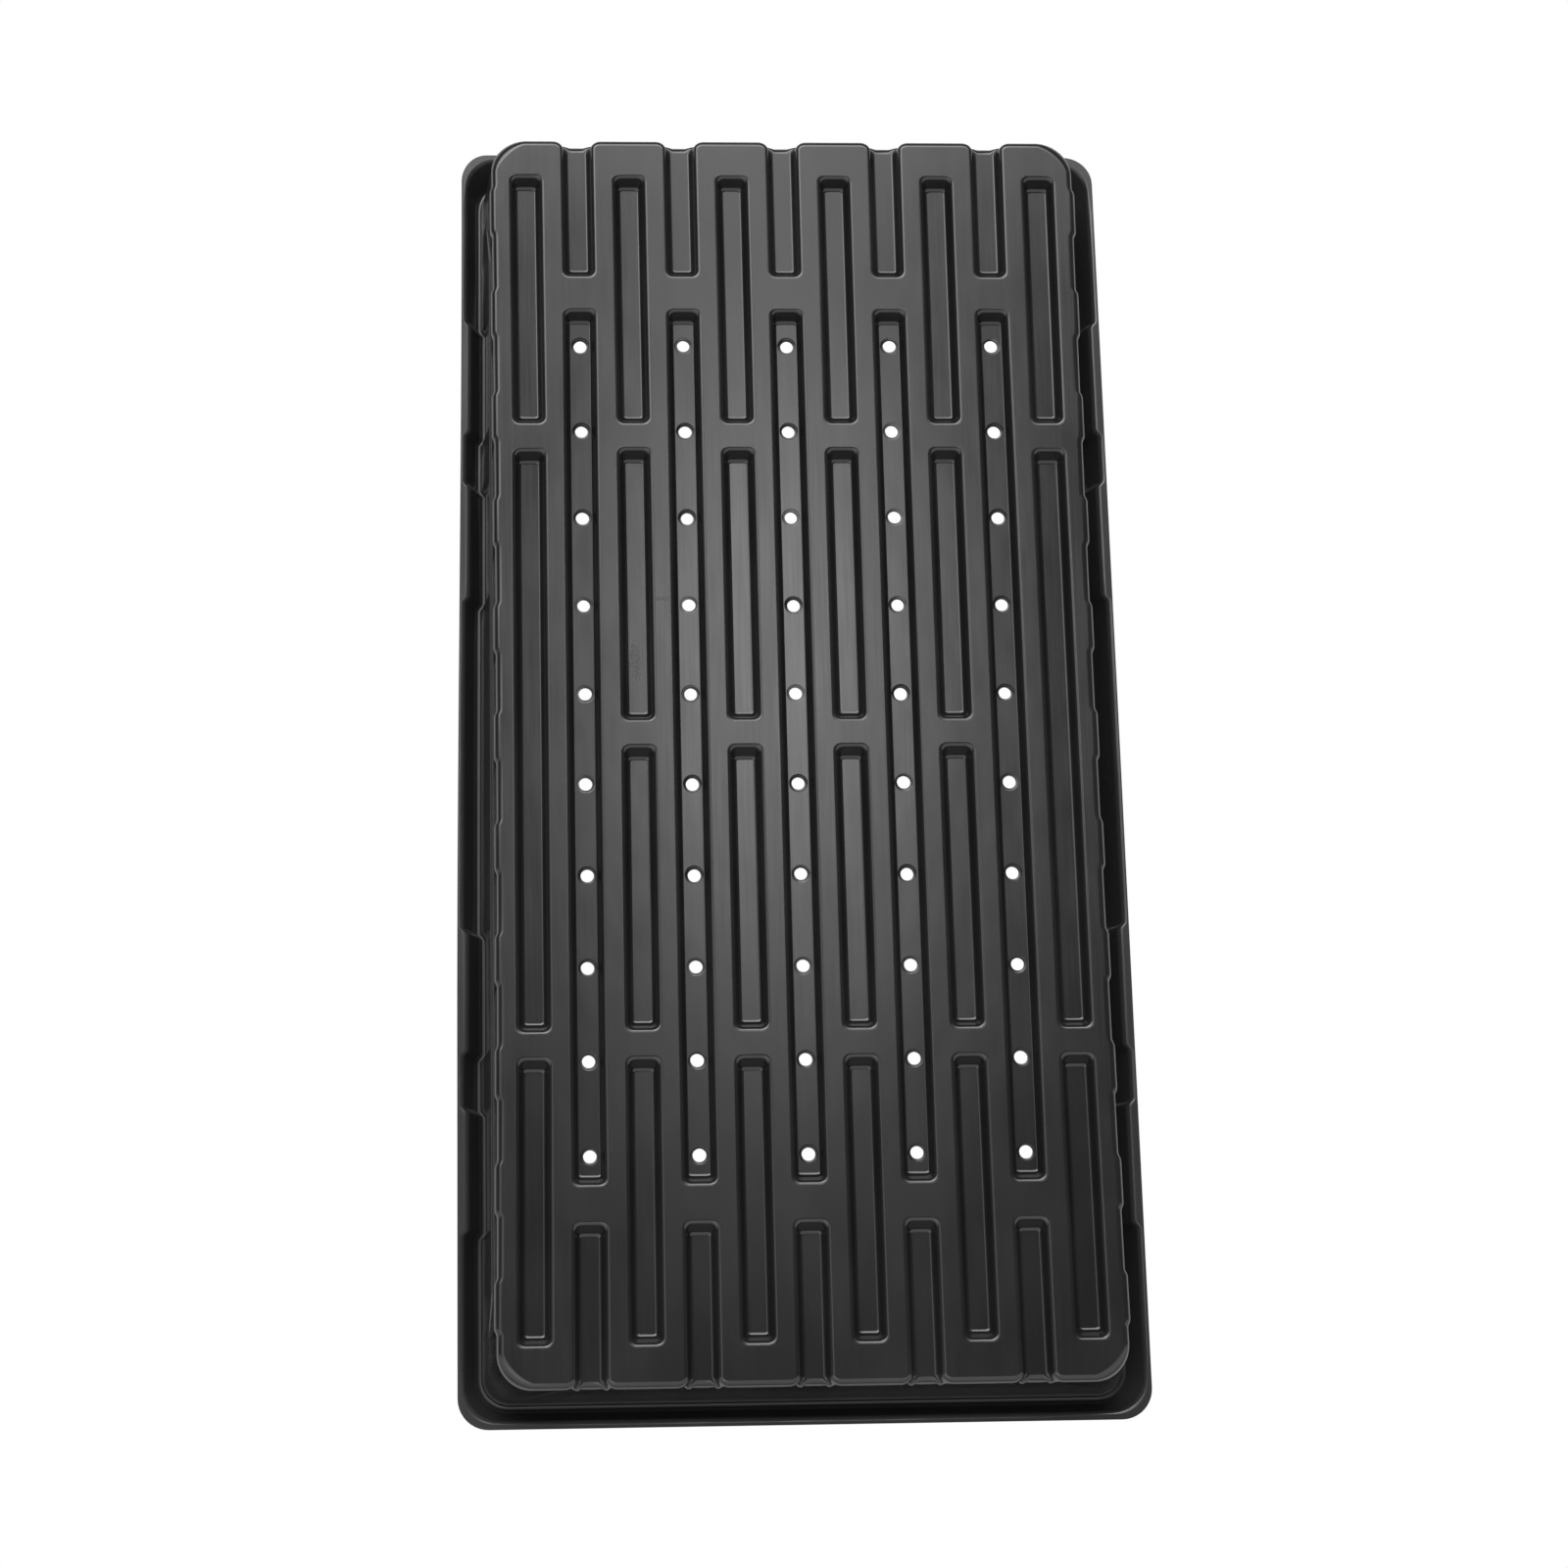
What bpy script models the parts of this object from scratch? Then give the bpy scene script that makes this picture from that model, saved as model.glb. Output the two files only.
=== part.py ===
"""Ribbed seedling tray: one thermoformed plastic sheet, standing upside down on its rim.

X runs across the tray, Y along it and Z up. The rim rests on Z = 0 and the underside of the
tray, a flat panel pressed with drainage grooves, faces up. The sheet is modelled as an upper
and an under skin of the same loops, joined along the rim's edge and round each drain hole.
"""
import math

import bmesh
import bpy
from mathutils.geometry import delaunay_2d_cdt

MM = 0.001

# The whole sheet, outside its rim.
WIDTH = 280.0 * MM
LENGTH = 549.0 * MM
HEIGHT = 59.0 * MM
SHEET = 1.0 * MM

# Flat panel: the top of the walls, seen from above.
PANEL_HALF_WIDTH = 122.5 * MM
PANEL_HALF_LENGTH = 262.2 * MM
PANEL_CORNER = 14.0 * MM

# Long walls: shallow upright ribs that stiffen the top of the wall.
RIB_COUNT = 11
RIB_PITCH = 46.0 * MM
RIB_HALF_LENGTH = 11.5 * MM
RIB_RAMP = 3.0 * MM
RIB_PROUD = 1.0 * MM

# Rim: a narrow flat that the tray rests on, then a leg that flares up to a thin flange.
REST_HALF_WIDTH = 130.5 * MM
REST_HALF_LENGTH = 264.4 * MM
REST_CORNER = 11.0 * MM
REST_FLAT = 1.5 * MM
LEG_TOP = 14.7 * MM
LEG_TOP_CORNER = 14.5 * MM
RIM_CORNER = 12.5 * MM
SIDE_FLANGE = 2.4 * MM
END_FLANGE = 3.0 * MM

# Finger jogs: stretches of the long sides where the rest and the leg step inwards.
JOG_SPANS = ((-196.0, -145.8), (-122.6, -71.6), (71.6, 122.6), (145.8, 196.0))
JOG_DEPTH = 2.1 * MM
JOG_RAMP = 1.6 * MM

# Grooves pressed into the panel, in eleven columns.
COLUMN_PITCH = 21.6 * MM
GROOVE_DEPTH = 5.75 * MM
GROOVE_HALF_WIDTH = 6.15 * MM
GROOVE_FLOOR_HALF_WIDTH = 4.45 * MM
GROOVE_CORNER = 2.4 * MM
OUTER_GROOVE = (134.0 * MM, 245.2 * MM)
INNER_GROOVE = (5.8 * MM, 122.1 * MM)
DRAIN_GROOVE_END = 183.7 * MM
CHANNEL_START = 199.5 * MM
CHANNEL_MOUTH = 261.1 * MM
PAD_CORNER = 4.0 * MM

# Drain holes, punched through the floors of the long drain grooves.
HOLE_ROWS = 10
HOLE_PITCH = 38.0 * MM
HOLE_RADIUS = 2.75 * MM
HOLE_SIDES = 10

CORNER_STEPS = 4
SMALL_CORNER_STEPS = 2
WELD = 0.0001 * MM
SMOOTH_ANGLE = math.radians(32.0)
PLASTIC_COLOUR = (0.022, 0.022, 0.024, 1.0)
PLASTIC_ROUGHNESS = 0.38

# Columns of closed grooves lie at odd multiples of the pitch, drain grooves at even ones.
GROOVE_COLUMNS = [COLUMN_PITCH * step for step in (-5, -3, -1, 1, 3, 5)]
DRAIN_COLUMNS = [COLUMN_PITCH * step for step in (-4, -2, 0, 2, 4)]


def clear_scene():
    """Remove every object, so that the tray is alone."""
    for item in list(bpy.data.objects):
        bpy.data.objects.remove(item, do_unlink=True)


def corner_shift(run, rise):
    """Sideways shift, per unit of sheet, of the corner between a flat and a sloping face."""
    return math.tan(math.radians(45.0) - math.atan2(run, rise) / 2.0)


WALL_SHIFT = corner_shift(REST_HALF_WIDTH - PANEL_HALF_WIDTH, HEIGHT)
LEG_SHIFT = corner_shift(WIDTH / 2 - SIDE_FLANGE - REST_HALF_WIDTH - REST_FLAT, LEG_TOP)
GROOVE_SHIFT = corner_shift(GROOVE_HALF_WIDTH - GROOVE_FLOOR_HALF_WIDTH, GROOVE_DEPTH)


def arc(centre_x, centre_y, radius, start_degrees, steps):
    """Points of a quarter circle, anticlockwise from the start angle."""
    angles = [math.radians(start_degrees + 90.0 * step / steps) for step in range(steps + 1)]
    return [(centre_x + radius * math.cos(a), centre_y + radius * math.sin(a)) for a in angles]


def rounded_rectangle(half_x, half_y, radius, centre=(0.0, 0.0), steps=CORNER_STEPS):
    """Anticlockwise outline of a rectangle with round corners."""
    points = []
    for quarter, (side_x, side_y) in enumerate(((1, 1), (-1, 1), (-1, -1), (1, -1))):
        corner_x = centre[0] + side_x * (half_x - radius)
        corner_y = centre[1] + side_y * (half_y - radius)
        points += arc(corner_x, corner_y, radius, 90.0 * quarter, steps)
    return points


def side_steps(spans, ramp, step):
    """Where a long side moves sideways, as (y, offset) from -Y to +Y."""
    places = []
    for start, end in spans:
        places += [(start - ramp, 0.0), (start + ramp, step), (end - ramp, step), (end + ramp, 0.0)]
    return places


def stepped_outline(half_x, half_y, radius, places, far_end):
    """Round-cornered outline whose long sides are stepped and whose far end is given."""
    corner_x = half_x - radius
    corner_y = half_y - radius
    right = [(half_x + offset, y) for y, offset in places]
    quarter = right + arc(corner_x, corner_y, radius, 0.0, CORNER_STEPS) + far_end
    quarter += arc(-corner_x, corner_y, radius, 90.0, CORNER_STEPS)
    return quarter + [(-x, -y) for x, y in quarter]


def rim_outline(half_x, half_y, radius, jog):
    """One loop of the rim, with the jogs along both long sides."""
    spans = [(start * MM, end * MM) for start, end in JOG_SPANS]
    reach = GROOVE_HALF_WIDTH + PAD_CORNER
    far_end = [(x + side * reach, half_y) for x in DRAIN_COLUMNS[::-1] for side in (1, -1)]
    return stepped_outline(half_x, half_y, radius, side_steps(spans, JOG_RAMP, -jog), far_end)


def rib_places():
    """Where the ribs step the top of a long wall outwards."""
    centres = [RIB_PITCH * (rib - (RIB_COUNT - 1) / 2) for rib in range(RIB_COUNT)]
    ramp = RIB_RAMP / 2
    spans = [(y - RIB_HALF_LENGTH + ramp, y + RIB_HALF_LENGTH - ramp) for y in centres]
    return side_steps(spans, ramp, RIB_PROUD)


def add_loop(mesh, points, height):
    """Vertices of a loop that lies level."""
    return [mesh.verts.new((x, y, height)) for x, y in points]


def bridge(mesh, first, second, closed=True):
    """Quads between two loops with the same number of vertices."""
    last = len(first) if closed else len(first) - 1
    for index in range(last):
        after = (index + 1) % len(first)
        mesh.faces.new((first[index], first[after], second[after], second[index]))


def bridge_nearest(mesh, first, second):
    """Triangles between two loops with different numbers of vertices."""
    nearest = min(range(len(second)), key=lambda k: (second[k].co - first[0].co).length)
    second = second[nearest:] + second[:nearest]
    done_first = 0
    done_second = 0
    while done_first < len(first) or done_second < len(second):
        here = first[done_first % len(first)]
        there = second[done_second % len(second)]
        next_here = first[(done_first + 1) % len(first)]
        next_there = second[(done_second + 1) % len(second)]
        along_first = (next_here.co - there.co).length
        along_second = (next_there.co - here.co).length
        first_left = done_first < len(first)
        second_left = done_second < len(second)
        if first_left and (not second_left or along_first <= along_second):
            mesh.faces.new((here, next_here, there))
            done_first += 1
        else:
            mesh.faces.new((here, next_there, there))
            done_second += 1


def fill(mesh, loops):
    """Level triangles inside the first loop and outside the others."""
    verts = [vert for loop in loops for vert in loop]
    outlines = []
    for loop in loops:
        first = sum(len(outline) for outline in outlines)
        outlines.append(list(range(first, first + len(loop))))
    points = [vert.co.to_2d() for vert in verts]
    result = delaunay_2d_cdt(points, [], outlines, 1, WELD, True)
    triangles, sources, loops_round = result[2], result[3], result[5]
    for triangle, around in zip(triangles, loops_round):
        if around == [0]:
            mesh.faces.new([verts[sources[corner][0]] for corner in triangle])


def pressed_groove(mesh, centre, half_length, top, shift):
    """Walls of a closed groove; gives its opening and its floor loop."""
    loops = []
    inset = GROOVE_HALF_WIDTH - GROOVE_FLOOR_HALF_WIDTH
    for inwards, height in ((0.0, top), (inset, top - GROOVE_DEPTH)):
        half_width = GROOVE_HALF_WIDTH - inwards + shift
        half_span = half_length - inwards + shift
        radius = GROOVE_CORNER - inwards / 2 + shift
        outline = rounded_rectangle(half_width, half_span, radius, centre, SMALL_CORNER_STEPS)
        loops.append(add_loop(mesh, outline, height))
    bridge(mesh, *loops)
    return loops


def closed_grooves():
    """Centre and half length of each groove without holes."""
    grooves = []
    for x in GROOVE_COLUMNS:
        outermost = abs(x) > COLUMN_PITCH * 4
        for side in (-1, 1):
            spans = [OUTER_GROOVE] if outermost else [OUTER_GROOVE, INNER_GROOVE]
            for near, far in spans:
                grooves.append(((x, side * (near + far) / 2), (far - near) / 2))
        if outermost:
            grooves.append(((x, 0.0), INNER_GROOVE[1]))
    return grooves


def drain_holes(mesh, x, height):
    """One column of drain holes."""
    holes = []
    for row in range(HOLE_ROWS):
        y = HOLE_PITCH * (row - (HOLE_ROWS - 1) / 2)
        angles = [2 * math.pi * (side + 0.5) / HOLE_SIDES for side in range(HOLE_SIDES)]
        ring = [(x + HOLE_RADIUS * math.cos(a), y + HOLE_RADIUS * math.sin(a)) for a in angles]
        holes.append(add_loop(mesh, ring, height))
    return holes


def channel_sides(x, wall_shift, groove_shift):
    """Right half of an open channel: its opening, from the mouth in, and its floor."""
    inset = GROOVE_HALF_WIDTH - GROOVE_FLOOR_HALF_WIDTH
    pad_radius = PAD_CORNER - wall_shift
    opening_x = x + GROOVE_HALF_WIDTH + groove_shift
    floor_x = opening_x - inset
    mouth_y = PANEL_HALF_LENGTH - wall_shift
    opening = arc(opening_x + pad_radius, mouth_y - pad_radius, pad_radius, 90.0, 2)
    end_radius = GROOVE_CORNER + groove_shift
    end_y = CHANNEL_START - groove_shift
    inner_end = arc(opening_x - end_radius, end_y + end_radius, end_radius, 270.0, 2)
    opening += inner_end[::-1]
    floor_radius = end_radius - inset / 2
    floor_end = arc(floor_x - floor_radius, end_y + inset + floor_radius, floor_radius, 270.0, 2)
    floor = [(floor_x, CHANNEL_MOUTH - wall_shift), (floor_x, opening[2][1])]
    floor += floor_end[::-1]
    return opening, floor


def mirrored(points, x):
    """The same points on the other side of the line at x, in reverse order."""
    return [(2 * x - px, py) for px, py in reversed(points)]


def open_channel(mesh, x, end, top, wall_shift, groove_shift):
    """Walls and floor of a channel; gives its panel edge and its stretch of the wall's top."""
    opening, floor = channel_sides(x, wall_shift, groove_shift)
    edge = opening + mirrored(opening, x)
    bed = floor + mirrored(floor, x)
    edge = add_loop(mesh, [(px, end * py) for px, py in edge], top)
    bed = add_loop(mesh, [(px, end * py) for px, py in bed], top - GROOVE_DEPTH)
    bridge(mesh, edge[2:-2], bed[1:-1], closed=False)
    for near, mouth, far in ((edge[:3], bed[0], bed[1]), (edge[:-4:-1], bed[-1], bed[-2])):
        mesh.faces.new((near[0], near[1], mouth))
        mesh.faces.new((near[1], near[2], mouth))
        mesh.faces.new((near[2], far, mouth))
    mesh.faces.new(bed)
    wall_top = [edge[0], bed[0], bed[-1], edge[-1]]
    if end < 0:
        return edge[::-1], wall_top[::-1]
    return edge, wall_top


def panel_edges(mesh, top, wall_shift, groove_shift):
    """The panel's outline round its channels, and the top of the walls below it."""
    half_x = PANEL_HALF_WIDTH - wall_shift
    half_y = PANEL_HALF_LENGTH - wall_shift
    radius = PANEL_CORNER - wall_shift
    plain = stepped_outline(half_x, half_y, radius, rib_places(), [])
    half_count = len(plain) // 2
    side_count = half_count - CORNER_STEPS - 1
    panel = []
    wall_top = []
    for end in (1, -1):
        start = 0 if end > 0 else half_count
        before = add_loop(mesh, plain[start:start + side_count], top)
        after = add_loop(mesh, plain[start + side_count:start + half_count], top)
        panel += before
        wall_top += before
        for x in sorted(DRAIN_COLUMNS, reverse=end > 0):
            edge, stretch = open_channel(mesh, x, end, top, wall_shift, groove_shift)
            panel += edge
            wall_top += stretch
        panel += after
        wall_top += after
    return panel, wall_top


def build_skin(mesh, depth):
    """One skin of the sheet, depth below the upper one; gives the loops left open."""
    top = HEIGHT - depth
    wall_shift = depth * WALL_SHIFT
    groove_shift = depth * GROOVE_SHIFT
    leg_shift = depth * LEG_SHIFT

    panel, wall_top = panel_edges(mesh, top, wall_shift, groove_shift)
    openings = []
    for centre, half_length in closed_grooves():
        opening, floor = pressed_groove(mesh, centre, half_length, top, groove_shift)
        mesh.faces.new(floor)
        openings.append(opening)
    holes = []
    for x in DRAIN_COLUMNS:
        opening, floor = pressed_groove(mesh, (x, 0.0), DRAIN_GROOVE_END, top, groove_shift)
        column = drain_holes(mesh, x, top - GROOVE_DEPTH)
        fill(mesh, [floor] + column)
        openings.append(opening)
        holes += column
    fill(mesh, [panel] + openings)

    rest = SHEET - depth
    inner = rim_outline(REST_HALF_WIDTH - wall_shift, REST_HALF_LENGTH - wall_shift,
                        REST_CORNER - wall_shift, JOG_DEPTH)
    outer = rim_outline(REST_HALF_WIDTH + REST_FLAT + leg_shift,
                        REST_HALF_LENGTH + REST_FLAT + leg_shift,
                        REST_CORNER + REST_FLAT + leg_shift, JOG_DEPTH)
    leg = rim_outline(WIDTH / 2 - SIDE_FLANGE + leg_shift, LENGTH / 2 - END_FLANGE + leg_shift,
                      LEG_TOP_CORNER + leg_shift, JOG_DEPTH)
    edge = rim_outline(WIDTH / 2, LENGTH / 2, RIM_CORNER, 0.0)
    levels = ((inner, rest), (outer, rest), (leg, LEG_TOP - depth), (edge, LEG_TOP - depth))
    rings = [add_loop(mesh, outline, height) for outline, height in levels]
    bridge_nearest(mesh, wall_top, rings[0])
    for lower, upper in zip(rings, rings[1:]):
        bridge(mesh, lower, upper)
    return [rings[-1]] + holes


def plastic():
    """Semi-gloss black polystyrene."""
    material = bpy.data.materials.new("black_plastic")
    material.use_nodes = True
    shader = material.node_tree.nodes["Principled BSDF"]
    shader.inputs["Base Color"].default_value = PLASTIC_COLOUR
    shader.inputs["Roughness"].default_value = PLASTIC_ROUGHNESS
    shader.inputs["Metallic"].default_value = 0.0
    return material


def build_tray():
    """The whole tray as one closed sheet."""
    mesh = bmesh.new()
    upper = build_skin(mesh, 0.0)
    under = build_skin(mesh, SHEET)
    for above, below in zip(upper, under):
        bridge(mesh, above, below)
    bmesh.ops.recalc_face_normals(mesh, faces=mesh.faces)
    data = bpy.data.meshes.new("seedling_tray")
    mesh.to_mesh(data)
    mesh.free()
    data.shade_smooth()
    data.set_sharp_from_angle(angle=SMOOTH_ANGLE)
    data.materials.append(plastic())
    tray = bpy.data.objects.new("seedling_tray", data)
    bpy.context.scene.collection.objects.link(tray)
    return tray


clear_scene()
build_tray()
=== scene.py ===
import math
import random

import bmesh
import bpy
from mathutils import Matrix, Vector
from mathutils.geometry import delaunay_2d_cdt


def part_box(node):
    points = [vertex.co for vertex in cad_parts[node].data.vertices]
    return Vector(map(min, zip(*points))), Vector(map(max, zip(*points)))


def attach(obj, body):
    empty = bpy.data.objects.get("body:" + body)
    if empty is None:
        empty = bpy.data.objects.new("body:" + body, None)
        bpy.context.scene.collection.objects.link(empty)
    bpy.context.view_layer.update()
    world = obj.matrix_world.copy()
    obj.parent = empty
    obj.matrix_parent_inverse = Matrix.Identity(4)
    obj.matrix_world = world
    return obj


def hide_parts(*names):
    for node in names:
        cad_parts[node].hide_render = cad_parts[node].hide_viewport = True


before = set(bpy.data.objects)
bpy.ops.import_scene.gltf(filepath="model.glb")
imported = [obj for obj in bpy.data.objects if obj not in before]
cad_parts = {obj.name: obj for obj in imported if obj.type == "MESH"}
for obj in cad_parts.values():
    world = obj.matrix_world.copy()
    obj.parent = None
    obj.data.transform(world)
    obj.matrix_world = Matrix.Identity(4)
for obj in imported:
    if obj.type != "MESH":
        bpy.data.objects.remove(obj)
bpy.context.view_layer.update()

# The tray is one formed sheet, upside down. Its CAD solid has plain edges; the piece made here
# is the same sheet with its rounded bends, punched holes and finish. Lengths are millimetres.
NODE = "seedling_tray"
MM = 0.001
LOW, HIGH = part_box(NODE)
HALF_WIDTH = HIGH.x / MM
HALF_LENGTH = HIGH.y / MM
TOP = HIGH.z / MM
SHEET = 1.0

# Panel: its outline, and the bend round its edge, which is wider round its corners.
PANEL_HALF_WIDTH = HALF_WIDTH - 17.5
PANEL_HALF_LENGTH = HALF_LENGTH - 12.3
PANEL_CORNER = 14.0
PANEL_EDGE_BEND = 2.5
CORNER_EXTRA_BEND = 1.7

# Walls: a shoulder low on the long ones, plain end ones, and ribs on the long ones.
SHOULDER_HEIGHT = 24.0
SHOULDER_START = 124.8
SHOULDER_END = 126.0
SHOULDER_DROP = 0.9
SHOULDER_FADE = (224.0, 244.0)
SHOULDER_BEND = 0.5
END_WALL_BLEND = 46.0
END_WALL_TUCK = 0.1
RIB_COUNT = 11
RIB_PITCH = 46.0
RIB_HALF_LENGTH = 11.5
RIB_RAMP = 3.0
RIB_PROUD = 1.0

# Rim: foot of the wall, rest, flaring leg and flange.
REST_HALF_WIDTH = HALF_WIDTH - 9.5
REST_HALF_LENGTH = HALF_LENGTH - 10.1
REST_CORNER = 11.0
REST_FLAT = 1.5
REST_BEND = 0.5
VALLEY_FALL = 0.15
LEG_TOP = 14.7
LEG_TOP_CORNER = 14.5
LEG_BEND = 2.4
RIM_CORNER = 12.5
SIDE_FLANGE = 2.4
END_FLANGE = 3.0
JOG_SPANS = ((-196.0, -145.8), (-122.6, -71.6), (71.6, 122.6), (145.8, 196.0))
JOG_DEPTH = 2.1
JOG_RAMP = 1.6

# Spring of the thin sheet: the panel spreads and drifts sideways, more at its ends, and the
# left lip bows inwards over a length that starts near the middle.
SPREAD = 0.004
END_SPREAD = 0.011
DRIFT = 0.2
END_DRIFT = 0.35
SPREAD_RISE = 30.0
LIP_BOW = 2.3
BOW_START = -120.0
BOW_LENGTH = 380.0

# Grooves: closed ones, drain grooves with holes, and channels that run out at the ends.
COLUMN_PITCH = 21.6
GROOVE_DEPTH = 5.75
GROOVE_HALF_WIDTH = 6.15
GROOVE_INSET = 1.7
GROOVE_END_INSET = 3.1
GROOVE_CORNER = 2.7
CORNER_RATE = 0.5
GROOVE_EDGE_BEND = 1.6
DRAIN_FLOOR_BEND = 0.5
GROOVE_FLOOR_BEND = 1.3
END_EDGE_BEND = 1.9
END_FLOOR_BEND = 1.9
OUTER_GROOVE = (134.0, 245.3)
INNER_GROOVE = (5.8, 122.1)
DRAIN_GROOVE_END = 183.7
CHANNEL_START = 199.5
CHANNEL_MOUTH = 261.4
MOUTH_BEND = 2.8
MOUTH_FADE = 0.45
PAD_CORNER = 4.0
# The grooves were pressed slightly towards the far end of the outline and of the holes.
PRESS_OFFSET = 1.0

# Drain holes, each punched a little off the centre of a shallow round seat.
HOLE_ROWS = 10
HOLE_PITCH = 38.0
HOLE_RADIUS = 2.7
HOLE_RADIUS_SPREAD = 0.08
HOLE_OVAL = 0.012
HOLE_RIPPLE = 0.008
HOLE_WANDER = 0.2
HOLE_SIDES = 24
SEAT_RADIUS = 3.85
SEAT_DEPTH = 0.5
SEAT_DEPTH_SHARES = (0.12, 0.3, 0.9, 1.15, 1.3)
# Profile of a seat: share of the way from its outer edge to the hole, and its drop. The first
# ring is level, so that the groove's floor round it is shaded as a flat.
SEAT_PROFILE = ((0.0, 0.0), (0.05, 0.0), (0.1, 0.1), (0.2, 0.5), (0.3, 0.86),
                (0.38, 0.98), (0.46, 1.0), (0.8, 1.0), (0.9, 1.15), (1.0, 1.8))

# Steps of the mesh in each kind of bend.
BEND_STEPS = 4
FLOOR_BEND_STEPS = 3
CORNER_STEPS = 6
PANEL_CORNER_STEPS = 10
SHOULDER_BEND_STEPS = 2
LEG_BEND_STEPS = 5
RAMP_STEPS = 4
# Where columns cross a channel's mouth, as shares of the way from its middle to its corner.
MOUTH_SHARES = (0.85, 0.65, 0.4, 0.0, -0.4, -0.65, -0.85)
# How far past a bend a close point keeps the flat beside it flat in the shading.
HELD = 0.3
FLOOR_HELD = 0.08
# Length of the flat on each side of a section, from which its bends are worked out.
REACH = 3.5
# Clear of the panel's corners and of each other, columns along a long side keep these gaps.
CORNER_GAP = 0.1
COLUMN_GAP = 0.25
# Closer points are welded, and a smaller turn in radians counts as straight.
WELD = 0.002
STRAIGHT = 0.002
SHARP_ANGLE = math.radians(55.0)

GROOVE_COLUMNS = [COLUMN_PITCH * step for step in (-5, -3, -1, 1, 3, 5)]
DRAIN_COLUMNS = [COLUMN_PITCH * step for step in (-4, -2, 0, 2, 4)]


def corner_shift(run, rise):
    """Sideways shift, per unit of sheet, of the corner between a flat and a sloping face."""
    return math.tan(math.radians(45.0) - math.atan2(run, rise) / 2.0)


WALL_RUN = REST_HALF_WIDTH - PANEL_HALF_WIDTH
WALL_SHIFT = corner_shift(WALL_RUN, TOP)
LEG_SHIFT = corner_shift(HALF_WIDTH - SIDE_FLANGE - REST_HALF_WIDTH - REST_FLAT, LEG_TOP)
# Just below the panel's edge a wall leans a third as much as it does over its whole height.
EDGE_LEAN = WALL_RUN / TOP / 3.0


def smooth(value):
    """Smooth step from 0 to 1."""
    value = min(1.0, max(0.0, value))
    return value * value * (3.0 - 2.0 * value)


def rounded_path(corners, bends, steps, hold_end=HELD):
    """Path through the corners, each inner one bent to a radius and held by close points."""
    path = []
    for index, (bend, count) in enumerate(zip(bends, steps)):
        corner = Vector(corners[index + 1])
        back = (Vector(corners[index]) - corner).normalized()
        on = (Vector(corners[index + 2]) - corner).normalized()
        half = back.angle(on) / 2.0
        sweep = math.pi - 2.0 * half
        tangent = bend / math.tan(half)
        hold = HELD if bend > 0.0 else 0.0
        last_hold = min(hold, hold_end) if index == len(bends) - 1 else hold
        path.append(corner + back * (tangent + hold))
        for step in range(count + 1):
            share = step / count
            if sweep < STRAIGHT:
                path.append(corner + back * tangent * (1.0 - share) + on * tangent * share)
                continue
            centre = corner + (back + on).normalized() * (bend / math.sin(half))
            near = math.sin((1.0 - share) * sweep) / math.sin(sweep)
            far = math.sin(share * sweep) / math.sin(sweep)
            path.append(centre + (corner + back * tangent - centre) * near
                        + (corner + on * tangent - centre) * far)
        path.append(corner + on * (tangent + last_hold))
    return path


def groove_section(depth, inset, edge_bend, floor_bend):
    """Bends of a groove's side as (offset, drop), on the skin at this depth."""
    shift = depth * corner_shift(inset, GROOVE_DEPTH)
    top = (-shift, depth)
    foot = (inset - shift, GROOVE_DEPTH + depth)
    corners = ((top[0] - REACH, top[1]), top, foot, (foot[0] + REACH, foot[1]))
    bends = (edge_bend - depth, floor_bend)
    return rounded_path(corners, bends, (BEND_STEPS, FLOOR_BEND_STEPS), FLOOR_HELD)


def side_section(depth, share=1.0, floor_bend=GROOVE_FLOOR_BEND):
    """A groove's long side; share fades out the bend at its foot."""
    return groove_section(depth, GROOVE_INSET, GROOVE_EDGE_BEND, (floor_bend + depth) * share)


def end_section(depth):
    """A groove's end, which leans more and has wider bends."""
    return groove_section(depth, GROOVE_END_INSET, END_EDGE_BEND, END_FLOOR_BEND + depth)


def wall_section(depth, bend=PANEL_EDGE_BEND):
    """Bend of the panel's outer edge as (offset, drop), with as many points as a groove's."""
    shift = depth * WALL_SHIFT
    top = (-shift, depth)
    end = (GROOVE_DEPTH * EDGE_LEAN - shift, GROOVE_DEPTH + depth)
    path = rounded_path(((top[0] - REACH, top[1]), top, end), (bend - depth,), (BEND_STEPS,))
    return path + [Vector(end)] * (FLOOR_BEND_STEPS + 3)


class Station:
    """One place on the panel's outline, where its edge is drawn as a column of points.

    base is the place, and push is how far the column moves there per unit of its section's
    offset. kind says what the edge is across x and along y: "wall", "side" or "end". turn is how
    far the column has turned from the first to the second. floor is the share of the bend at a
    groove's foot, bend is the panel's edge bend, and rim is the place's part of the rim, or None
    where the column is inside a channel.
    """

    def __init__(self, base, push, kind, turn=0.0, floor=1.0, rim=None, bend=PANEL_EDGE_BEND):
        self.base = base
        self.push = push
        self.kind = kind
        self.turn = turn
        self.floor = floor
        self.rim = rim
        self.bend = bend

    def column(self, depth):
        """Points down the panel's edge here, on the skin at this depth."""
        sections = {"wall": wall_section(depth, self.bend), "side": side_section(depth, self.floor),
                    "end": end_section(depth)}
        points = []
        for across, along in zip(sections[self.kind[0]], sections[self.kind[1]]):
            x = self.base[0] + self.push[0] * across[0]
            y = self.base[1] + self.push[1] * along[0]
            drop = (1.0 - self.turn) * across[1] + self.turn * along[1]
            points.append(Vector((x, y, TOP - drop)))
        return points


def rib(y):
    """How far the ribs push the top of a long wall outwards at y."""
    nearest = RIB_PITCH * round(y / RIB_PITCH)
    if abs(nearest) > RIB_PITCH * (RIB_COUNT - 1) / 2 + 1.0:
        return 0.0
    return RIB_PROUD * smooth((RIB_HALF_LENGTH - abs(y - nearest)) / RIB_RAMP)


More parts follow.
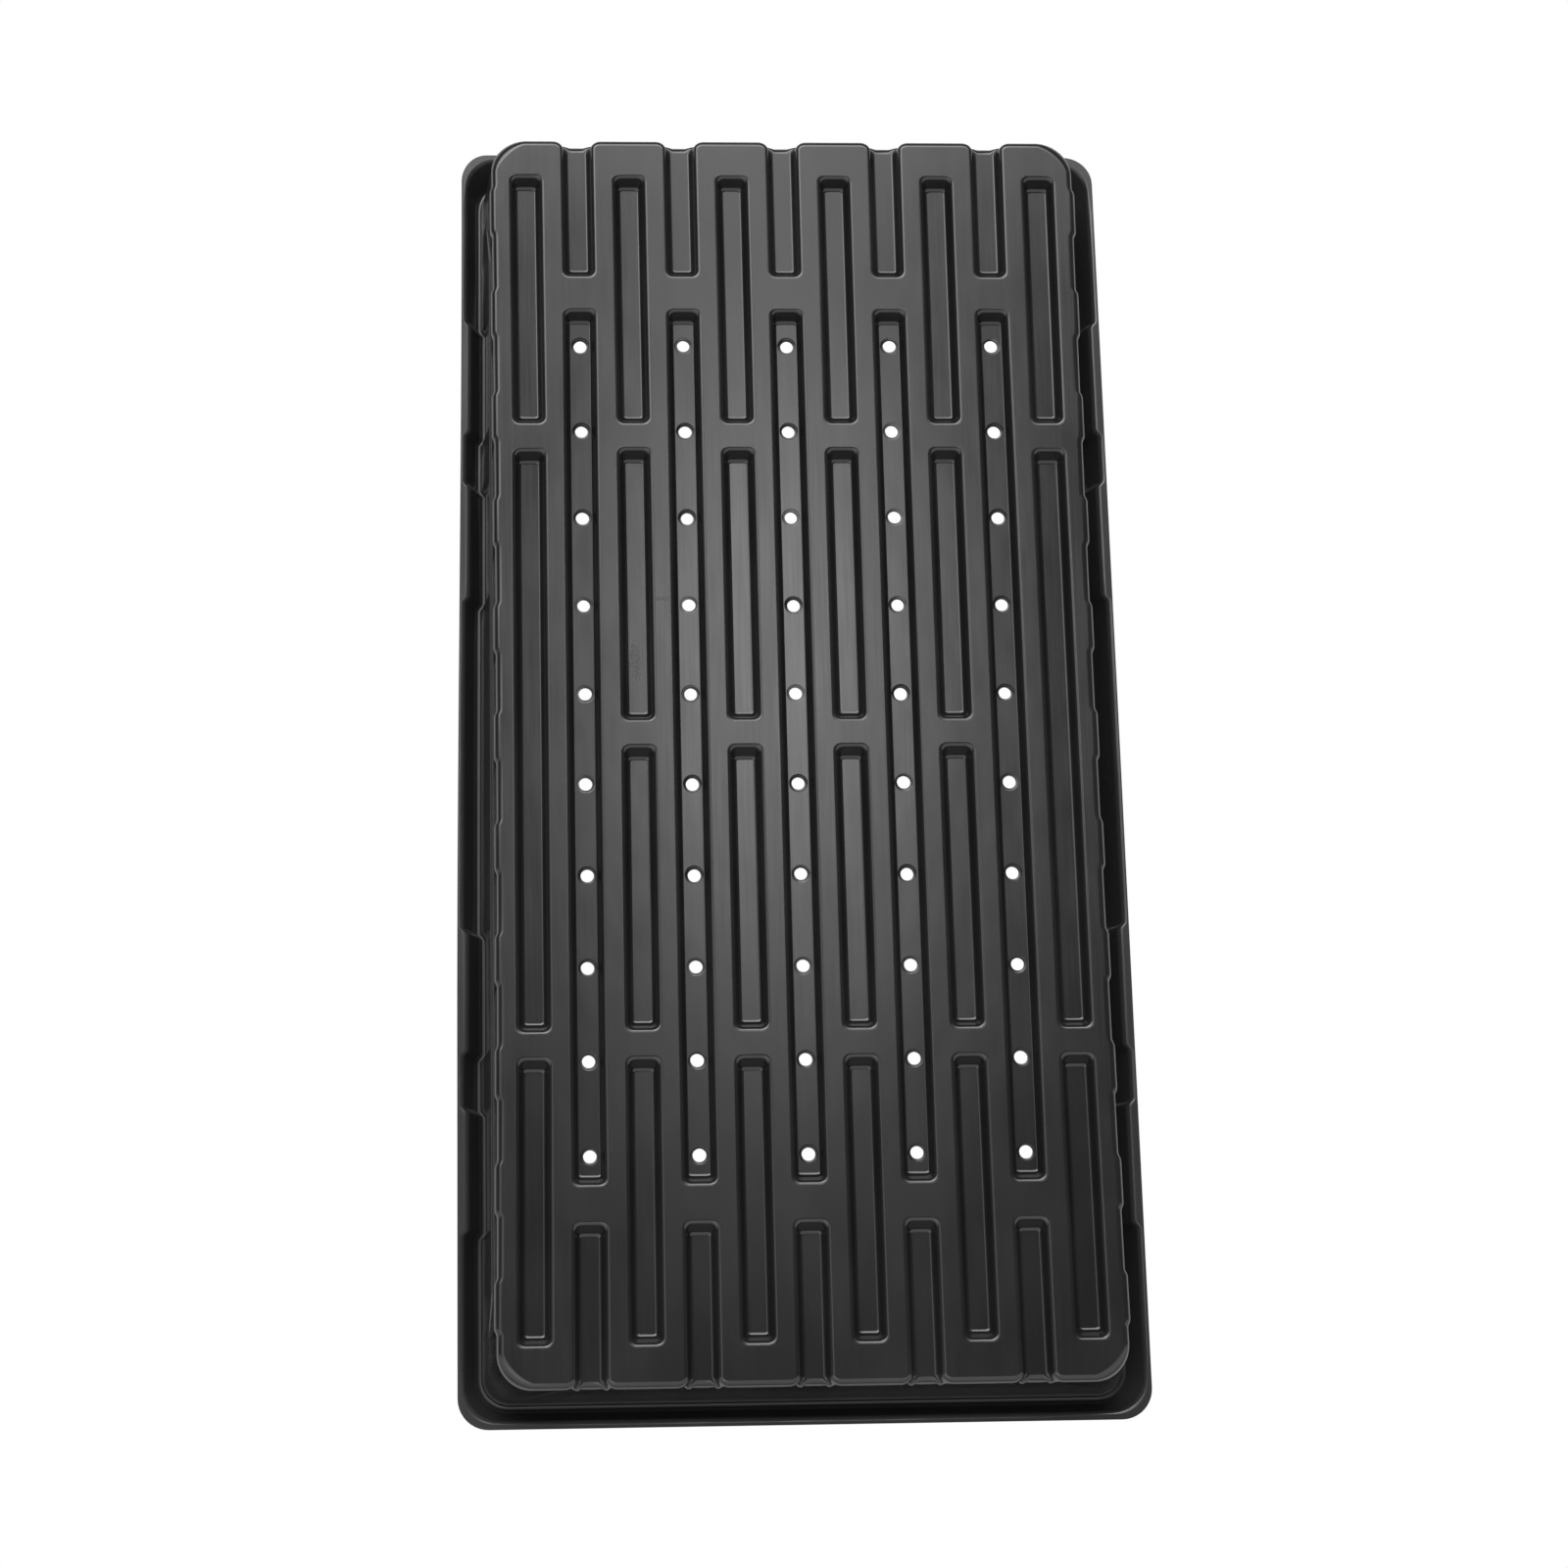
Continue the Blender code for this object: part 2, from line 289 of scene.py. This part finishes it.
def jog(y):
    """How far a finger jog sets the rest and the leg inwards at y."""
    inside = 0.0
    for start, end in JOG_SPANS:
        inside = max(inside, min(y - start, end - y) / (2.0 * JOG_RAMP) + 0.5)
    return JOG_DEPTH * smooth(inside)


def side_places():
    """Places along a long side where the ribs or the jogs bend it."""
    places = set()
    for index in range(RIB_COUNT):
        centre = RIB_PITCH * (index - (RIB_COUNT - 1) / 2)
        for step in range(RAMP_STEPS + 1):
            reach = RIB_HALF_LENGTH - RIB_RAMP * step / RAMP_STEPS
            places |= {centre - reach, centre + reach}
    for start, end in JOG_SPANS:
        for step in range(RAMP_STEPS + 1):
            away = JOG_RAMP * (2 * step / RAMP_STEPS - 1.0)
            places |= {start + away, end + away}
    limit = PANEL_HALF_LENGTH - PANEL_CORNER - CORNER_GAP
    kept = [-limit]
    for place in sorted(places) + [limit]:
        if place - kept[-1] > COLUMN_GAP:
            kept.append(place)
    return kept


def channel_stations(x, closed_end):
    """The outline from the right of a channel's mouth, round its closed end, to the left."""
    half = GROOVE_HALF_WIDTH
    pad_x = x + half + PAD_CORNER
    pad_y = PANEL_HALF_LENGTH - PAD_CORNER
    wide = PAD_CORNER + GROOVE_INSET
    mouth_angle = math.asin((CHANNEL_MOUTH - pad_y) / PAD_CORNER)
    right = []
    angles = [math.pi / 2 + (mouth_angle - math.pi / 2) * step / BEND_STEPS
              for step in range(BEND_STEPS + 1)]
    angles += [mouth_angle * (1.0 - step / BEND_STEPS) for step in range(1, BEND_STEPS + 1)]
    for angle in angles:
        base = (pad_x - PAD_CORNER * math.cos(angle), pad_y + PAD_CORNER * math.sin(angle))
        inside = angle < mouth_angle - 0.001
        floor = smooth((mouth_angle - angle) / mouth_angle) if inside else 0.0
        push = (-math.cos(angle), math.sin(angle))
        foot_x = pad_x - wide * math.cos(angle)
        rim = None if inside else ("end", foot_x)
        right.append(Station(base, push, ("side", "wall"), math.sin(angle) ** 2, floor, rim))
    corner = (x + half - GROOVE_CORNER, closed_end + GROOVE_CORNER)
    for step in range(CORNER_STEPS + 1):
        angle = math.pi / 2 * step / CORNER_STEPS
        base = (corner[0] + GROOVE_CORNER * math.cos(angle),
                corner[1] - GROOVE_CORNER * math.sin(angle))
        push = (-CORNER_RATE - (1.0 - CORNER_RATE) * math.cos(angle),
                CORNER_RATE + (1.0 - CORNER_RATE) * math.sin(angle))
        right.append(Station(base, push, ("side", "end"), math.sin(angle) ** 2))
    left = []
    for place in reversed(right):
        base = (2 * x - place.base[0], place.base[1])
        rim = place.rim and ("end", 2 * x - place.rim[1])
        left.append(Station(base, (-place.push[0], place.push[1]), place.kind, place.turn,
                            place.floor, rim))
    return right, left


def outline_stations(press_offset):
    """Half of the panel's outline: the right side, the far right corner, the far end and the
    far left corner."""
    stations = []
    for y in side_places():
        base = (PANEL_HALF_WIDTH + rib(y), y)
        stations.append(Station(base, (1.0, 0.0), ("wall", "wall"), rim=("side", y)))
    corner_x = PANEL_HALF_WIDTH - PANEL_CORNER
    corner_y = PANEL_HALF_LENGTH - PANEL_CORNER
    corners = []
    for side, start in ((1, 0.0), (-1, 90.0)):
        arc = []
        for step in range(PANEL_CORNER_STEPS + 1):
            angle = math.radians(start + 90.0 * step / PANEL_CORNER_STEPS)
            push = (math.cos(angle), math.sin(angle))
            base = (side * corner_x + PANEL_CORNER * push[0], corner_y + PANEL_CORNER * push[1])
            bend = PANEL_EDGE_BEND + CORNER_EXTRA_BEND * abs(math.sin(2.0 * angle))
            arc.append(Station(base, push, ("wall", "wall"), rim=("corner", side, angle),
                               bend=bend))
        corners.append(arc)
    stations += corners[0]
    for x in reversed(DRAIN_COLUMNS):
        right, left = channel_stations(x, CHANNEL_START + press_offset)
        stations += right + left
    return stations + corners[1]


def rim_place(rim, half_x, half_y, radius, inwards):
    """Where a loop of the rim passes a station."""
    if rim[0] == "side":
        return half_x - inwards * jog(rim[1]), rim[1]
    if rim[0] == "end":
        return rim[1], half_y
    side, angle = rim[1:]
    return (side * (half_x - radius) + radius * math.cos(angle),
            half_y - radius + radius * math.sin(angle))


def wall_places(start, foot, rim, depth):
    """The two corners of the wall between its top, start, and its foot."""
    places = []
    for height, x in ((SHOULDER_HEIGHT, SHOULDER_START),
                      (SHOULDER_HEIGHT - SHOULDER_DROP, SHOULDER_END)):
        if rim[0] == "end":
            height += END_WALL_BLEND - SHOULDER_HEIGHT
            y = PANEL_HALF_LENGTH - END_WALL_TUCK - depth * WALL_SHIFT
            places.append(Vector((start.x + (foot.x - start.x) * 0.1, y, height)))
            continue
        share = (start.z - height) / (start.z - foot.z)
        place = start.lerp(foot, share)
        if rim[0] == "side":
            near, far = SHOULDER_FADE
            fade = 1.0 - smooth((abs(rim[1]) - near) / (far - near))
            place.x += (x - depth * WALL_SHIFT - place.x) * fade
        places.append(place)
    return places


def valley_fall(rim):
    """How far the valley's flat falls outwards: beside the end walls only."""
    if rim[0] == "corner":
        return VALLEY_FALL * abs(math.sin(rim[2]))
    return VALLEY_FALL if rim[0] == "end" else 0.0


def rim_column(start, above, rim, depth, mouth_share=0.0):
    """Points from below the panel's edge down the wall and up the rim.

    above sets the direction in which the column arrives at start. mouth_share is the share of
    the bend there, where a channel's floor runs out over the wall.
    """
    wall = depth * WALL_SHIFT
    leg = depth * LEG_SHIFT
    loops = (
        (REST_HALF_WIDTH - wall, REST_HALF_LENGTH - wall, REST_CORNER - wall, 1.0),
        (REST_HALF_WIDTH + REST_FLAT + leg, REST_HALF_LENGTH + REST_FLAT + leg,
         REST_CORNER + REST_FLAT + leg, 1.0),
        (HALF_WIDTH - SIDE_FLANGE + leg, HALF_LENGTH - END_FLANGE + leg,
         LEG_TOP_CORNER + leg, 1.0),
        (HALF_WIDTH, HALF_LENGTH, RIM_CORNER, 0.0),
    )
    heights = (SHEET - depth + valley_fall(rim), SHEET - depth, LEG_TOP - depth, LEG_TOP - depth)
    rims = []
    for loop, height in zip(loops, heights):
        x, y = rim_place(rim, *loop)
        rims.append(Vector((x, y, height)))
    corners = [above, start] + wall_places(start, rims[0], rim, depth) + rims
    mouth = max(0.3, MOUTH_BEND - depth) * mouth_share
    bends = (mouth, SHOULDER_BEND, SHOULDER_BEND, REST_BEND + depth, REST_BEND + depth,
             LEG_BEND - depth)
    steps = (BEND_STEPS, SHOULDER_BEND_STEPS, SHOULDER_BEND_STEPS, BEND_STEPS, BEND_STEPS,
             LEG_BEND_STEPS)
    path = rounded_path(corners, bends, steps)
    return path + [corners[-1]]


def turned(points):
    """The same points half a turn round the tray's middle."""
    return [Vector((-p.x, -p.y, p.z)) for p in points]


class Sheet:
    """The mesh under construction, in millimetres."""

    def __init__(self):
        self.mesh = bmesh.new()

    def verts(self, points):
        return [self.mesh.verts.new(point) for point in points]

    def strip(self, first, second):
        """Quads between two rows of vertices."""
        for index in range(len(first) - 1):
            self.mesh.faces.new((first[index], first[index + 1],
                                 second[index + 1], second[index]))

    def tube(self, first, second):
        """Quads between two closed loops of vertices."""
        self.strip(first + first[:1], second + second[:1])

    def fill(self, loops):
        """Level triangles inside the first loop and outside the others."""
        verts = [vert for loop in loops for vert in loop]
        outlines = []
        for loop in loops:
            start = sum(len(outline) for outline in outlines)
            outlines.append(list(range(start, start + len(loop))))
        points = [vert.co.to_2d() for vert in verts]
        result = delaunay_2d_cdt(points, [], outlines, 1, WELD / 10, True)
        triangles, sources, around = result[2], result[3], result[5]
        for triangle, loops_round in zip(triangles, around):
            if loops_round == [0]:
                self.mesh.faces.new([verts[sources[corner][0]] for corner in triangle])


def groove_ring(centre, half_length, side, end):
    """One loop round a closed groove, from the sections of its sides and its ends."""
    radius_x = GROOVE_CORNER - CORNER_RATE * side[0]
    radius_y = GROOVE_CORNER - CORNER_RATE * end[0]
    half_x = GROOVE_HALF_WIDTH - side[0] - radius_x
    half_y = half_length - end[0] - radius_y
    points = []
    for quarter, (side_x, side_y) in enumerate(((1, 1), (-1, 1), (-1, -1), (1, -1))):
        for step in range(CORNER_STEPS + 1):
            angle = math.pi / 2 * (quarter + step / CORNER_STEPS)
            turn = math.sin(angle) ** 2
            points.append((centre[0] + side_x * half_x + radius_x * math.cos(angle),
                           centre[1] + side_y * half_y + radius_y * math.sin(angle),
                           TOP - side[1] * (1.0 - turn) - end[1] * turn))
    return points


def closed_groove(sheet, centre, half_length, depth, floor_bend=GROOVE_FLOOR_BEND):
    """Walls of a closed groove; gives its rim loop and its floor loop."""
    side_ways = side_section(depth, floor_bend=floor_bend)
    rings = [sheet.verts(groove_ring(centre, half_length, side, end))
             for side, end in zip(side_ways, end_section(depth))]
    for outer, inner in zip(rings, rings[1:]):
        sheet.tube(outer, inner)
    return rings[0], rings[-1]


def closed_groove_places():
    """Centre and half length of each groove without holes."""
    places = []
    for x in GROOVE_COLUMNS:
        spans = []
        for side in (-1, 1):
            near, far = OUTER_GROOVE
            spans.append((side * near + PRESS_OFFSET, side * far))
        if abs(x) > COLUMN_PITCH * 4:
            reach = INNER_GROOVE[1]
            spans.append((PRESS_OFFSET / 2 - reach, PRESS_OFFSET / 2 + reach))
        else:
            for side in (-1, 1):
                spans.append([side * reach + PRESS_OFFSET for reach in INNER_GROOVE])
        for first, last in spans:
            places.append(((x, (first + last) / 2), abs(last - first) / 2))
    return places


def drain_hole(sheet, x, row, depth):
    """A seat and its punched hole; gives the seat's outer loop and the hole's edge."""
    y = HOLE_PITCH * (row - (HOLE_ROWS - 1) / 2)
    chance = random.Random(f"{x:.1f} {row}")
    turn = chance.uniform(0.0, 2.0 * math.pi)
    wander = HOLE_WANDER * math.sqrt(chance.random())
    centre = (x + wander * math.cos(turn), y + wander * math.sin(turn))
    radius = HOLE_RADIUS + chance.uniform(-HOLE_RADIUS_SPREAD, HOLE_RADIUS_SPREAD)
    floor = TOP - GROOVE_DEPTH - depth
    seat_depth = SEAT_DEPTH * chance.choice(SEAT_DEPTH_SHARES)
    rings = []
    for share, drop in SEAT_PROFILE:
        ring = []
        for side in range(HOLE_SIDES):
            angle = 2.0 * math.pi * side / HOLE_SIDES
            uneven = (1.0 + HOLE_OVAL * math.sin(2.0 * angle + turn)
                      + HOLE_RIPPLE * math.sin(5.0 * angle))
            outer = (x + SEAT_RADIUS * math.cos(angle), y + SEAT_RADIUS * math.sin(angle))
            inner = (centre[0] + radius * uneven * math.cos(angle),
                     centre[1] + radius * uneven * math.sin(angle))
            ring.append((outer[0] + (inner[0] - outer[0]) * share,
                         outer[1] + (inner[1] - outer[1]) * share,
                         floor - seat_depth * drop))
        rings.append(sheet.verts(ring))
    for outer, inner in zip(rings, rings[1:]):
        sheet.tube(outer, inner)
    return rings[0], rings[-1]


def mouth_columns(x, corner, depth):
    """Columns across the mouth of the channel at x, from one corner of its floor."""
    columns = []
    for share in MOUTH_SHARES:
        start = Vector((x + (corner.x - x) * share, corner.y, corner.z))
        inside = start - Vector((0.0, REACH, 0.0))
        fade = smooth((MOUTH_SHARES[0] - abs(share)) / MOUTH_FADE)
        columns.append(rim_column(start, inside, ("end", start.x), depth, fade))
    return columns


def half_skin(sheet, depth, end):
    """The edges, walls and rim of one half of the tray; end is 1 for the far half, -1 for near.

    Gives the half's rows of vertices down the panel's edge and down the walls.
    """
    turn = list if end > 0 else turned
    stations = outline_stations(end * PRESS_OFFSET)
    panel_rows = []
    rim_rows = []
    channel = []
    unopened = DRAIN_COLUMNS[::-1]
    for station in stations:
        column = station.column(depth)
        row = sheet.verts(turn(column))
        panel_rows.append(row)
        if station.rim is None:
            if not channel:
                mouth = mouth_columns(unopened.pop(0), previous, depth)
                channel.append(panel_rows[-2][-1])
            channel.append(row[-1])
            continue
        if channel:
            channel.append(row[-1])
            across = [sheet.verts(turn(points)) for points in mouth]
            rim_rows += across
            lip = sheet.verts(turn([points[0] for points in mouth]))
            sheet.fill([channel[::-1] + lip])
            channel = []
        previous = column[-1]
        above = previous + Vector((0.0, 0.0, REACH))
        rim_rows.append(sheet.verts(turn(rim_column(previous, above, station.rim, depth))))
    return panel_rows, rim_rows


def skin(sheet, depth):
    """One skin of the sheet; gives the loops left open: the rim's edge and the holes."""
    panel_rows = []
    rim_rows = []
    for end in (1, -1):
        panel_half, rim_half = half_skin(sheet, depth, end)
        panel_rows += panel_half
        rim_rows += rim_half
    for rows in (panel_rows, rim_rows):
        for first, second in zip(rows, rows[1:] + rows[:1]):
            sheet.strip(first, second)

    openings = [[row[0] for row in panel_rows]]
    holes = []
    for centre, half_length in closed_groove_places():
        opening, floor = closed_groove(sheet, centre, half_length, depth)
        sheet.fill([floor])
        openings.append(opening)
    for x in DRAIN_COLUMNS:
        opening, floor = closed_groove(sheet, (x, PRESS_OFFSET), DRAIN_GROOVE_END, depth,
                                       DRAIN_FLOOR_BEND)
        openings.append(opening)
        seats = [drain_hole(sheet, x, row, depth) for row in range(HOLE_ROWS)]
        sheet.fill([floor] + [seat for seat, hole in seats])
        holes += [hole for seat, hole in seats]
    sheet.fill(openings)
    return [[row[-1] for row in rim_rows]] + holes


def relax(point):
    """How the thin sheet springs: the panel spreads at its ends and the left lip bows in."""
    end = point.y / HALF_LENGTH
    spread = point.x * (SPREAD + END_SPREAD * end * end) - DRIFT - END_DRIFT * end
    point.x += spread * smooth((point.z - LEG_TOP) / SPREAD_RISE)
    lean = min(1.0, max(0.0, (-point.x - PANEL_HALF_WIDTH) / (HALF_WIDTH - PANEL_HALF_WIDTH)))
    along = smooth((point.y - BOW_START) / BOW_LENGTH)
    point.x += LIP_BOW * lean * along


def build_tray():
    """The detailed sheet, as one closed mesh."""
    sheet = Sheet()
    upper = skin(sheet, 0.0)
    under = skin(sheet, SHEET)
    for above, below in zip(upper, under):
        sheet.tube(above, below)
    mesh = sheet.mesh
    bmesh.ops.remove_doubles(mesh, verts=mesh.verts, dist=WELD)
    bmesh.ops.dissolve_degenerate(mesh, edges=mesh.edges, dist=WELD / 10)
    for vert in mesh.verts:
        relax(vert.co)
        vert.co *= MM
    bmesh.ops.recalc_face_normals(mesh, faces=mesh.faces)
    data = bpy.data.meshes.new("formed_tray")
    mesh.to_mesh(data)
    mesh.free()
    data.shade_smooth()
    data.set_sharp_from_angle(angle=SHARP_ANGLE)
    tray = bpy.data.objects.new("formed_tray", data)
    bpy.context.scene.collection.objects.link(tray)
    return tray


class Nodes:
    """Short ways to add the nodes of one tree."""

    def __init__(self, tree):
        self.tree = tree

    def node(self, kind, **inputs):
        """A node with its input sockets set to numbers or linked to sockets."""
        node = self.tree.nodes.new("ShaderNode" + kind)
        for name, value in inputs.items():
            self.feed(node.inputs[name.replace("_", " ")], value)
        return node

    def feed(self, socket, value):
        if isinstance(value, bpy.types.NodeSocket):
            self.tree.links.new(value, socket)
        else:
            socket.default_value = value

    def math(self, operation, first, second=None):
        """A Math node's result."""
        node = self.tree.nodes.new("ShaderNodeMath")
        node.operation = operation
        for socket, value in zip(node.inputs, (first, second)):
            if value is not None:
                self.feed(socket, value)
        return node.outputs[0]

    def ramp(self, value, low, high, start=0.0, end=1.0):
        """start to end, smoothly, as a value goes from one number to another."""
        node = self.node("MapRange", Value=value, From_Min=low, From_Max=high, To_Min=start,
                         To_Max=end)
        node.interpolation_type = "SMOOTHSTEP"
        return node.outputs["Result"]

    def noise(self, place, stretch, scale, detail=2.0):
        """Noise about 0.5, its grain 1 / scale long where stretch is 1."""
        mapping = self.node("Mapping", Vector=place)
        mapping.inputs["Scale"].default_value = stretch
        return self.node("TexNoise", Vector=mapping.outputs[0], Scale=scale,
                         Detail=detail).outputs[0]

    def patch(self, place, centre, spread):
        """A soft spot, 1 at its centre, over as many coordinates as the centre has."""
        total = None
        for coordinate, middle, width in zip(place, centre, spread):
            away = self.math("DIVIDE", self.math("SUBTRACT", coordinate, middle), width)
            square = self.math("MULTIPLY", away, away)
            total = square if total is None else self.math("ADD", total, square)
        return self.math("EXPONENT", self.math("MULTIPLY", total, -0.5))


# Finish of the sheet. The groove floors are a little glossier than the panel. The low parts are
# painted a little paler, as painted light on the lower walls and the rim; this and the rim's finish
# take over between two heights, in millimetres.
PANEL_ROUGHNESS = 0.155
FLOOR_ROUGHNESS = 0.125
RIM_ROUGHNESS = 0.15
BLACK = 0.015
# Paler tone of the low parts: painted light on the lower walls and the rim.
RIM_PAINTED_LIGHT_BLACK = 0.038
RIM_BLEND = (50.0, 25.0)
# Draw lines, grain and clouds: stretch and scale of each noise.
STREAKS = ((1.0, 0.025, 1.0), 900.0)
GRAIN = ((1.0, 1.0, 1.0), 2500.0)
CLOUDS = ((1.0, 0.6, 1.0), 35.0)
FLECKS = ((1.0, 0.5, 1.0), 1600.0)
# What each does to the roughness and the tone, and the height of its bumps in millimetres.
STREAK_ROUGHNESS = 0.012
CLOUD_ROUGHNESS = 0.008
SCUFF_ROUGHNESS = 0.25
STREAK_BUMP = 0.0025
GRAIN_BUMP = 0.0006
CLOUD_BUMP = 0.10
SCUFF_BUMP = 0.03
CLOUD_TONE = 0.15
SCUFF_TONE = 0.05
# Scuffed spots: centre and spread in millimetres across and along, and strength.
SCUFFS = (
    ((-66.2, 32.9), (1.4, 4.6), 0.6),
    ((-55.2, 58.0), (1.6, 0.6), 0.8),
)


def black_plastic():
    """Glossy black polystyrene with draw lines, a faint grain, a few scuffs, and low parts painted
    paler as painted light.
    """
    material = bpy.data.materials.new("formed_black_plastic")
    material.use_nodes = True
    tree = material.node_tree
    nodes = Nodes(tree)
    shader = tree.nodes["Principled BSDF"]
    shader.inputs["IOR"].default_value = 1.59
    place = nodes.node("TexCoord").outputs["Object"]
    spot = nodes.node("SeparateXYZ", Vector=place).outputs

    streaks = nodes.noise(place, *STREAKS, detail=3.0)
    grain = nodes.noise(place, *GRAIN)
    clouds = nodes.noise(place, *CLOUDS)
    scuffed = 0.0
    for centre, spread, strength in SCUFFS:
        patch = nodes.patch(spot, [c * MM for c in centre], [s * MM for s in spread])
        flecks = nodes.ramp(nodes.noise(place, *FLECKS), 0.5, 0.62)
        patch = nodes.math("MULTIPLY", nodes.math("MULTIPLY", patch, flecks), strength)
        scuffed = nodes.math("ADD", patch, scuffed)

    level = TOP * MM
    upper = nodes.ramp(spot["Z"], level - GROOVE_DEPTH * MM, level - 0.8 * MM,
                       FLOOR_ROUGHNESS, PANEL_ROUGHNESS)
    low = nodes.ramp(spot["Z"], *(height * MM for height in RIM_BLEND))
    varied = nodes.math("ADD", upper, nodes.math("MULTIPLY", low, RIM_ROUGHNESS - FLOOR_ROUGHNESS))
    varied = nodes.math("ADD", varied, nodes.ramp(streaks, 0.3, 0.7, -STREAK_ROUGHNESS,
                                                   STREAK_ROUGHNESS))
    varied = nodes.math("ADD", varied, nodes.ramp(clouds, 0.3, 0.7, -CLOUD_ROUGHNESS,
                                                   CLOUD_ROUGHNESS))
    varied = nodes.math("ADD", varied, nodes.math("MULTIPLY", scuffed, SCUFF_ROUGHNESS))
    nodes.feed(shader.inputs["Roughness"], varied)

    tone = nodes.math("ADD", nodes.ramp(clouds, 0.3, 0.7, BLACK * (1.0 - CLOUD_TONE),
                                        BLACK * (1.0 + CLOUD_TONE)),
                      nodes.math("MULTIPLY", scuffed, SCUFF_TONE))
    # Painted light: the colour grows paler towards the bottom, over the lower walls and the rim.
    tone = nodes.math("ADD", tone, nodes.math("MULTIPLY", low, RIM_PAINTED_LIGHT_BLACK - BLACK))
    colour = nodes.node("CombineColor", Red=tone, Green=tone,
                        Blue=nodes.math("MULTIPLY", tone, 1.04))
    nodes.feed(shader.inputs["Base Color"], colour.outputs[0])

    height = nodes.math("ADD", nodes.math("MULTIPLY", clouds, CLOUD_BUMP * MM),
                        nodes.math("MULTIPLY", streaks, STREAK_BUMP * MM))
    height = nodes.math("ADD", height, nodes.math("MULTIPLY", grain, GRAIN_BUMP * MM))
    height = nodes.math("ADD", height, nodes.math("MULTIPLY", scuffed, SCUFF_BUMP * MM))
    bump = nodes.node("Bump", Height=height, Distance=1.0, Strength=1.0)
    nodes.feed(shader.inputs["Normal"], bump.outputs[0])
    return material


# Brightness of each light in the surround.
LAMP_LIGHT = 5.4
LEFT_LIGHT = 3.8
FAR_LIGHT = 5.0
NEAR_LIGHT = 0.95
FILL_LIGHT = 0.07


def surround():
    """The studio's soft light, as brightness by direction.

    A direction is two tilts from straight up, in degrees: towards +X and towards +Y. The light
    is a small lamp above, a broad light at the left, a bright wall beyond the far end, a weak
    light beyond the near end and a faint fill from everywhere.
    """
    world = bpy.data.worlds.new("studio_surround")
    world.use_nodes = True
    nodes = Nodes(world.node_tree)
    ray = nodes.node("SeparateXYZ", Vector=nodes.node("TexCoord").outputs["Generated"]).outputs
    tilts = [nodes.math("MULTIPLY", nodes.math("ARCTAN2", ray[axis], ray["Z"]), 180.0 / math.pi)
             for axis in ("X", "Y")]
    across, along = tilts
    parts = (
        (LAMP_LIGHT, [nodes.patch(tilts, (4.4, 16.2), (1.8, 4.2))]),
        (LEFT_LIGHT, [nodes.ramp(across, -1.5, -6.0), nodes.ramp(across, -42.0, -24.0),
                      nodes.ramp(along, 12.0, 23.0, 0.25, 1.0),
                      nodes.ramp(along, -40.0, -15.0), nodes.ramp(along, 65.0, 40.0)]),
        (FAR_LIGHT, [nodes.ramp(along, 20.5, 31.0), nodes.ramp(along, 62.0, 46.0),
                     nodes.patch(tilts, (4.0,), (13.0,))]),
        (NEAR_LIGHT, [nodes.ramp(along, -1.0, -16.0), nodes.ramp(along, -84.0, -64.0)]),
    )
    total = FILL_LIGHT
    for strength, factors in parts:
        share = strength
        for factor in factors:
            share = nodes.math("MULTIPLY", factor, share)
        total = nodes.math("ADD", share, total)
    background = world.node_tree.nodes["Background"]
    nodes.feed(background.inputs["Strength"], total)
    background.inputs["Color"].default_value = (1.0, 1.0, 1.0, 1.0)
    bpy.context.scene.world = world


# Floor: its half size in metres, and how far below the tray it lies, in millimetres.
FLOOR_HALF_SIZE = 6.0
FLOOR_GAP = 0.2
FLOOR_PALENESS = 0.8


def studio():
    """A pale floor just below the tray: plain white to the eye, so no shadow shows on it."""
    mesh = bmesh.new()
    bmesh.ops.create_grid(mesh, x_segments=1, y_segments=1, size=FLOOR_HALF_SIZE)
    data = bpy.data.meshes.new("studio_floor")
    mesh.to_mesh(data)
    mesh.free()
    floor = bpy.data.objects.new("studio_floor", data)
    floor.location.z = LOW.z - FLOOR_GAP * MM
    bpy.context.scene.collection.objects.link(floor)
    material = bpy.data.materials.new("studio_white")
    material.use_nodes = True
    tree = material.node_tree
    paper = tree.nodes["Principled BSDF"]
    paper.inputs["Base Color"].default_value = (FLOOR_PALENESS,) * 3 + (1.0,)
    paper.inputs["Roughness"].default_value = 0.9
    paper.inputs["Specular IOR Level"].default_value = 0.1
    lit = tree.nodes.new("ShaderNodeEmission")
    mix = tree.nodes.new("ShaderNodeMixShader")
    seen = tree.nodes.new("ShaderNodeLightPath")
    tree.links.new(seen.outputs["Is Camera Ray"], mix.inputs[0])
    tree.links.new(paper.outputs[0], mix.inputs[1])
    tree.links.new(lit.outputs[0], mix.inputs[2])
    tree.links.new(mix.outputs[0], tree.nodes["Material Output"].inputs["Surface"])
    data.materials.append(material)


# The viewpoint: place in metres, turn in degrees, lens and sensor in millimetres, shift as a
# share of the sensor, and the nearest distance seen, in metres.
VIEW_PLACE = (-0.11723, -0.36604, 1.46171)
VIEW_TURN = (14.8221, -3.2537, -1.1574)
VIEW_LENS = 81.71
VIEW_SENSOR = 36.0
VIEW_SHIFT = (0.0375, -0.0375)
VIEW_START = 0.05


def camera():
    """The viewpoint: above the near end, left of the middle."""
    data = bpy.data.cameras.new("view")
    data.lens = VIEW_LENS
    data.sensor_width = VIEW_SENSOR
    data.shift_x, data.shift_y = VIEW_SHIFT
    data.clip_start = VIEW_START
    item = bpy.data.objects.new("view", data)
    item.location = VIEW_PLACE
    item.rotation_euler = [math.radians(angle) for angle in VIEW_TURN]
    bpy.context.scene.collection.objects.link(item)
    bpy.context.scene.camera = item


tray = build_tray()
tray.data.materials.append(black_plastic())
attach(tray, "root")
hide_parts(NODE)
studio()
surround()
camera()
bpy.context.scene.view_settings.view_transform = "Standard"
